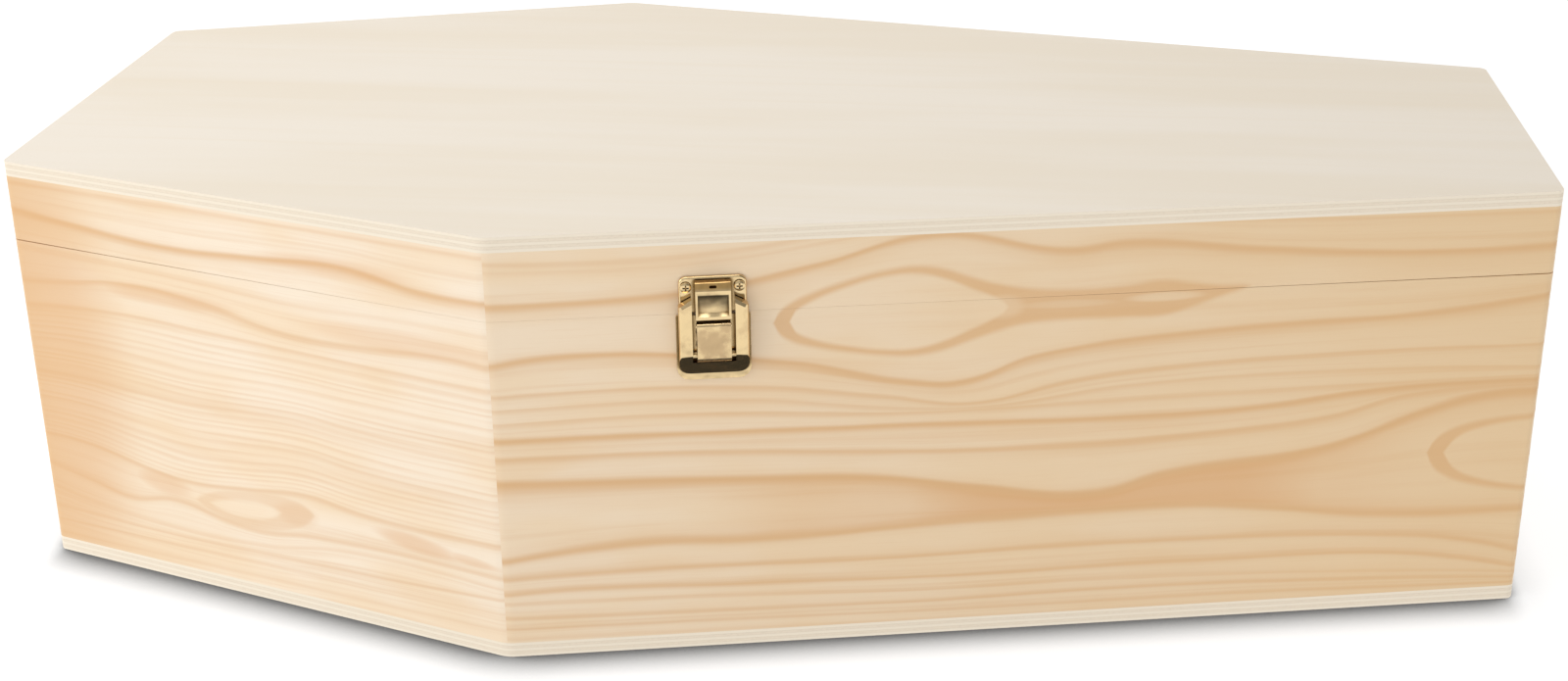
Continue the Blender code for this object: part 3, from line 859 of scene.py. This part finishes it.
def rolled(name, body, radius):
    """One built latch piece, cut again with its sharp edges rolled over."""
    built = nodes[name].data
    shape = bmesh.new()
    spots = [shape.verts.new(vert.co) for vert in built.vertices]
    for polygon in built.polygons:
        shape.faces.new([spots[number] for number in polygon.vertices])
    bmesh.ops.remove_doubles(shape, verts=shape.verts, dist=SAME_PLACE)
    bmesh.ops.dissolve_limit(shape, angle_limit=FLAT_BEND, verts=shape.verts, edges=shape.edges)
    if name in WIDE_ROLL:
        wide = widely_rolled(name, shape)
        print(name, "widely rolled edges", len(wide))
        roll_edges(shape, wide, WIDE_ROLL[name], WIDE_STEPS[name])
    roll_edges(shape, sharp_edges(shape), radius, ROLL_STEPS, clamped=True)
    mesh = finish_mesh(shape, name)
    mesh.shade_smooth()
    mesh.set_sharp_from_angle(angle=SMOOTH_BEND)
    piece = stand_for(name, mesh, body)
    even = piece.modifiers.new("even_shading", "WEIGHTED_NORMAL")
    even.keep_sharp = True
    return piece


latch = {}
for name in nodes:
    if name.startswith("latch"):
        body = "latch_flap" if name == "latch_flap" else CASE
        latch[name] = rolled(name, body, ROLLED_EDGE.get(name, SCREW_EDGE))
        print(name, "faces", len(latch[name].data.polygons))

# %% [markdown]
# ## Brass plate
#
# Thin, polished brass plating is nearly a mirror, so its colour comes mostly from what it reflects. What
# makes it read as a real, cheap latch is small: faint cloudiness where fingers touch it, and a surface that
# isn't quite flat after pressing. A noise makes both. The corners where the parts meet get painted shade:
# it follows the shape, so it comes from how sheltered each point is by its own piece. The wood around a
# plate doesn't count, or the plate's outer edge would go dark too. On the strike, the hump above the scoop
# is painted a darker gold, darkest towards its top, as a painted reflection.

# %% The brass finish
BRASS = paint(230, 204, 156)
BRASS_CLOUDY = paint(207, 178, 136)
# Painted shade: the colour of the corners where the parts meet.
BRASS_PAINTED_SHADE = paint(96, 68, 26)
# Painted reflection: the colours, place and strength of the darker gold band on the strike's hump.
HUMP_PAINTED_REFLECTION = paint(198, 156, 90)
HUMP_PAINTED_REFLECTION_DARK = paint(96, 64, 24)
LATCH_MIDDLE = corner(1) + run_of(1) * 0.0686
HUMP_REFLECTION_STARTS = (SEAM + 0.0084, SEAM + 0.0098)
HUMP_REFLECTION_DARKENS = (SEAM + 0.0104, SEAM + 0.0115)
HUMP_REFLECTION_ENDS = (SEAM + 0.0115, SEAM + 0.0119)
HUMP_REFLECTION_SIDE_MM = (5.2, 6.6)
HUMP_REFLECTION_STRENGTH = 0.8
# Painted shade: how far and how strongly the sheltered corners are darkened.
CORNER_SHADE_REACH = 0.0028
CORNER_SHADE_SHELTER = (0.05, 0.42)
CORNER_SHADE_STRENGTH = 0.95
WAVE_SCALE, CLOUD_SCALE, SCUFF_SCALE = 190.0, 260.0, 2600.0
PRESSED_RELIEF = 0.0006
FLAP_WEAR = 0.9


def brass_plate(name, wear=0.0, painted_hump_reflection=False):
    """Polished brass plate, with painted shade in its corners. Wear from 0 to 1 makes it cloudier, as
    fingers do.
    """
    material, wire = start_finish(name)
    place = wire.node("ShaderNodeTexCoord", output="Object")
    waves = wire.node("ShaderNodeTexNoise", None, {"Vector": place, "Scale": WAVE_SCALE, "Detail": 1.0})
    cloud = wire.node("ShaderNodeTexNoise", None, {"Vector": place, "Scale": CLOUD_SCALE, "Detail": 3.0})
    scuffs = wire.node("ShaderNodeTexNoise", None, {"Vector": place, "Scale": SCUFF_SCALE, "Detail": 2.0})
    open_air = wire.node(
        "ShaderNodeAmbientOcclusion", {"samples": 8, "only_local": True}, {"Distance": CORNER_SHADE_REACH}, "AO"
    )
    clouded = cloud.rise(0.45 - wear * 0.2, 0.7 - wear * 0.1)
    colour = (clouded * (0.5 + wear * 0.5)).mix(BRASS, BRASS_CLOUDY)
    # Painted reflection: a darker gold band on the hump above the scoop, darkest towards its top.
    if painted_hump_reflection:
        up = wire.node("ShaderNodeSeparateXYZ", None, {0: place}, "Z")
        across = abs(along_in_mm(wire, run_of(1), LATCH_MIDDLE))
        pooled = up.rise(*HUMP_REFLECTION_STARTS) * (1 - up.rise(*HUMP_REFLECTION_ENDS))
        pooled = pooled * (1 - across.rise(*HUMP_REFLECTION_SIDE_MM)) * HUMP_REFLECTION_STRENGTH
        colour = pooled.mix(colour, up.rise(*HUMP_REFLECTION_DARKENS).mix(HUMP_PAINTED_REFLECTION, HUMP_PAINTED_REFLECTION_DARK))
    # Painted shade: darker where the piece shelters itself, in the corners where the parts meet.
    colour = ((1 - open_air).rise(*CORNER_SHADE_SHELTER) * CORNER_SHADE_STRENGTH).mix(colour, BRASS_PAINTED_SHADE)
    relief = {"Height": waves, "Strength": 0.5, "Distance": PRESSED_RELIEF}
    pressed = wire.node("ShaderNodeBump", None, relief)
    end_finish(material, {
        "Base Color": colour, "Metallic": 1.0, "Normal": pressed,
        "Roughness": 0.12 + clouded * (0.06 + wear * 0.16) + scuffs.rise(0.55, 0.7) * 0.05,
    })
    return material


brass = brass_plate("polished_brass")
special = {
    "latch_flap": brass_plate("worn_brass", wear=FLAP_WEAR),
    # The strike gets the painted reflection on its hump.
    "latch_strike": brass_plate("lacquered_brass", painted_hump_reflection=True),
}
for name, piece in latch.items():
    piece.data.materials.append(special.get(name, brass))

# %% [markdown]
# ## Light and room
#
# The box stands on white paper that fades into a white wall, under a wide soft lamp overhead and another
# from the left. The left side and the top are the brightest, and the long side falls off to the right.
# Polished brass shows the whole room, so the room has more in it for mirrored light than for the rest: a
# bright ceiling, which draws the bright line along each rolled edge, a window high on the left, and dimmer
# walls ahead and on the right.

# %% Light the scene
WHITE = (1, 1, 1, 1)
BLACK = (0, 0, 0, 1)
ROOM_LIGHT = 0.5
CEILING_EDGE, CEILING_BRIGHT = (0.968, 0.99), 2.4
WINDOW_WAY = Vector((-0.42, -0.485, 0.768))
WINDOW_EDGE, WINDOW_BRIGHT = (0.92, 0.97), 0.5
RIGHT_WALL_EDGE, RIGHT_WALL_DIMMER = (0.15, 0.5), 0.3
FRONT_WALL_BRIGHT = 0.08


def softbox(name, place, aim, size, power):
    """A square area lamp that faces a point."""
    lamp = bpy.data.lights.new(name, "AREA")
    lamp.size = size
    lamp.energy = power
    lit = bpy.data.objects.new(name, lamp)
    lit.location = place
    lit.rotation_mode = "QUATERNION"
    lit.rotation_quaternion = (Vector(place) - Vector(aim)).to_track_quat("Z", "Y")
    bpy.context.collection.objects.link(lit)
    print(name, "at", place, "with", power, "watts")


softbox("overhead_softbox", place=(-0.45, 0.3, 1.5), aim=(0, 0, 0), size=1.6, power=11.6)
softbox("left_softbox", place=(-1.0, -0.75, 0.65), aim=(0, 0, 0.05), size=0.75, power=4.0)

world = bpy.data.worlds.new("studio")
world.use_nodes = True
sky = Wire(world.node_tree)
seen = sky.node("ShaderNodeLightPath")
backdrop = world.node_tree.nodes["Background"]
backdrop.inputs["Color"].default_value = WHITE
way = sky.node("ShaderNodeTexCoord", output="Generated")
upward = sky.node("ShaderNodeSeparateXYZ", None, {0: way}, "Z")
rightward = upward.other("X").rise(*RIGHT_WALL_EDGE)
window = sky.node("ShaderNodeVectorMath", {"operation": "DOT_PRODUCT"}, {0: way, 1: WINDOW_WAY}, "Value")
room = upward.rise(*CEILING_EDGE) * CEILING_BRIGHT + window.rise(*WINDOW_EDGE) * WINDOW_BRIGHT
room = room + FRONT_WALL_BRIGHT - rightward * RIGHT_WALL_DIMMER
strength = seen * (1 - ROOM_LIGHT) + seen.other("Is Glossy Ray") * room + ROOM_LIGHT
world.node_tree.links.new(strength.socket, backdrop.inputs["Strength"])
bpy.context.scene.world = world
bpy.context.scene.view_settings.view_transform = "Standard"
print("studio nodes", len(world.node_tree.nodes))

# %% [markdown]
# ## White paper
#
# The paper is one large flat square that glows a little, so that it fades into the wall behind it. Light
# this soft leaves no cast shadow, only a thin dark line where the box touches the paper. The lamps alone
# draw that line too faintly, so the paper measures how sheltered each point is and darkens there, for the
# camera only. Mirrored light sees one thing more, a dark patch in front of the latch, as the dim side of a
# studio would be. It's what makes the undersides of polished metal dark.

# %% Lay the white paper
FLOOR_REACH = 6.0
SHADOW_REACH = 0.017
SHADOW_CURVE = 1.15
SHADOW_DARKEST = 0.92
PAST_ENDS_MM = (foot_x * 1000 - 3, foot_x * 1000 + 5)
PAST_ENDS_PALER = 0.75
LATCH_ON_FLOOR = Vector((-0.009, -0.116, 0))
PATCH_EDGE = (0.06, 0.24)
PATCH_DARKEST = 0.97
PAPER_SEEN = 0.92
PAPER_GREY = (0.3, 0.3, 0.3, 1)
PAPER_GLOW = 0.89

paper, wire = start_finish("white_paper")
shelter = 1 - wire.node("ShaderNodeAmbientOcclusion", {"samples": 16}, {"Distance": SHADOW_REACH}, "AO")
place = wire.node("ShaderNodeTexCoord", output="Object")
run = along_in_mm(wire, Vector((1, 0, 0)), Vector())
past_ends = abs(run).rise(*PAST_ENDS_MM)
depth = shelter.math("MINIMUM", shelter * 2, 1.0) ** SHADOW_CURVE * SHADOW_DARKEST
seen = wire.node("ShaderNodeLightPath")
shade = 1 - depth * (1 - past_ends * PAST_ENDS_PALER) * seen
away = wire.node("ShaderNodeVectorMath", {"operation": "DISTANCE"}, {0: place, 1: LATCH_ON_FLOOR}, "Value")
dark_patch = (1 - away.rise(*PATCH_EDGE)) * seen.other("Is Glossy Ray")
seen_shade = shade * (1 - dark_patch * PATCH_DARKEST)
lit_shade = seen_shade * (PAPER_SEEN + seen.other("Is Diffuse Ray") * (1 - PAPER_SEEN))
end_finish(paper, {
    "Base Color": seen_shade.mix(BLACK, PAPER_GREY), "Emission Color": lit_shade.mix(BLACK, WHITE),
    "Emission Strength": PAPER_GLOW, "Roughness": 0.9,
})
floor_mesh = bpy.data.meshes.new("floor")
floor_corners = [(x * FLOOR_REACH, y * FLOOR_REACH, 0) for x, y in ((-1, -1), (1, -1), (1, 1), (-1, 1))]
floor_mesh.from_pydata(floor_corners, [], [(0, 1, 2, 3)])
floor_mesh.materials.append(paper)
floor = bpy.data.objects.new("floor", floor_mesh)
bpy.context.collection.objects.link(floor)
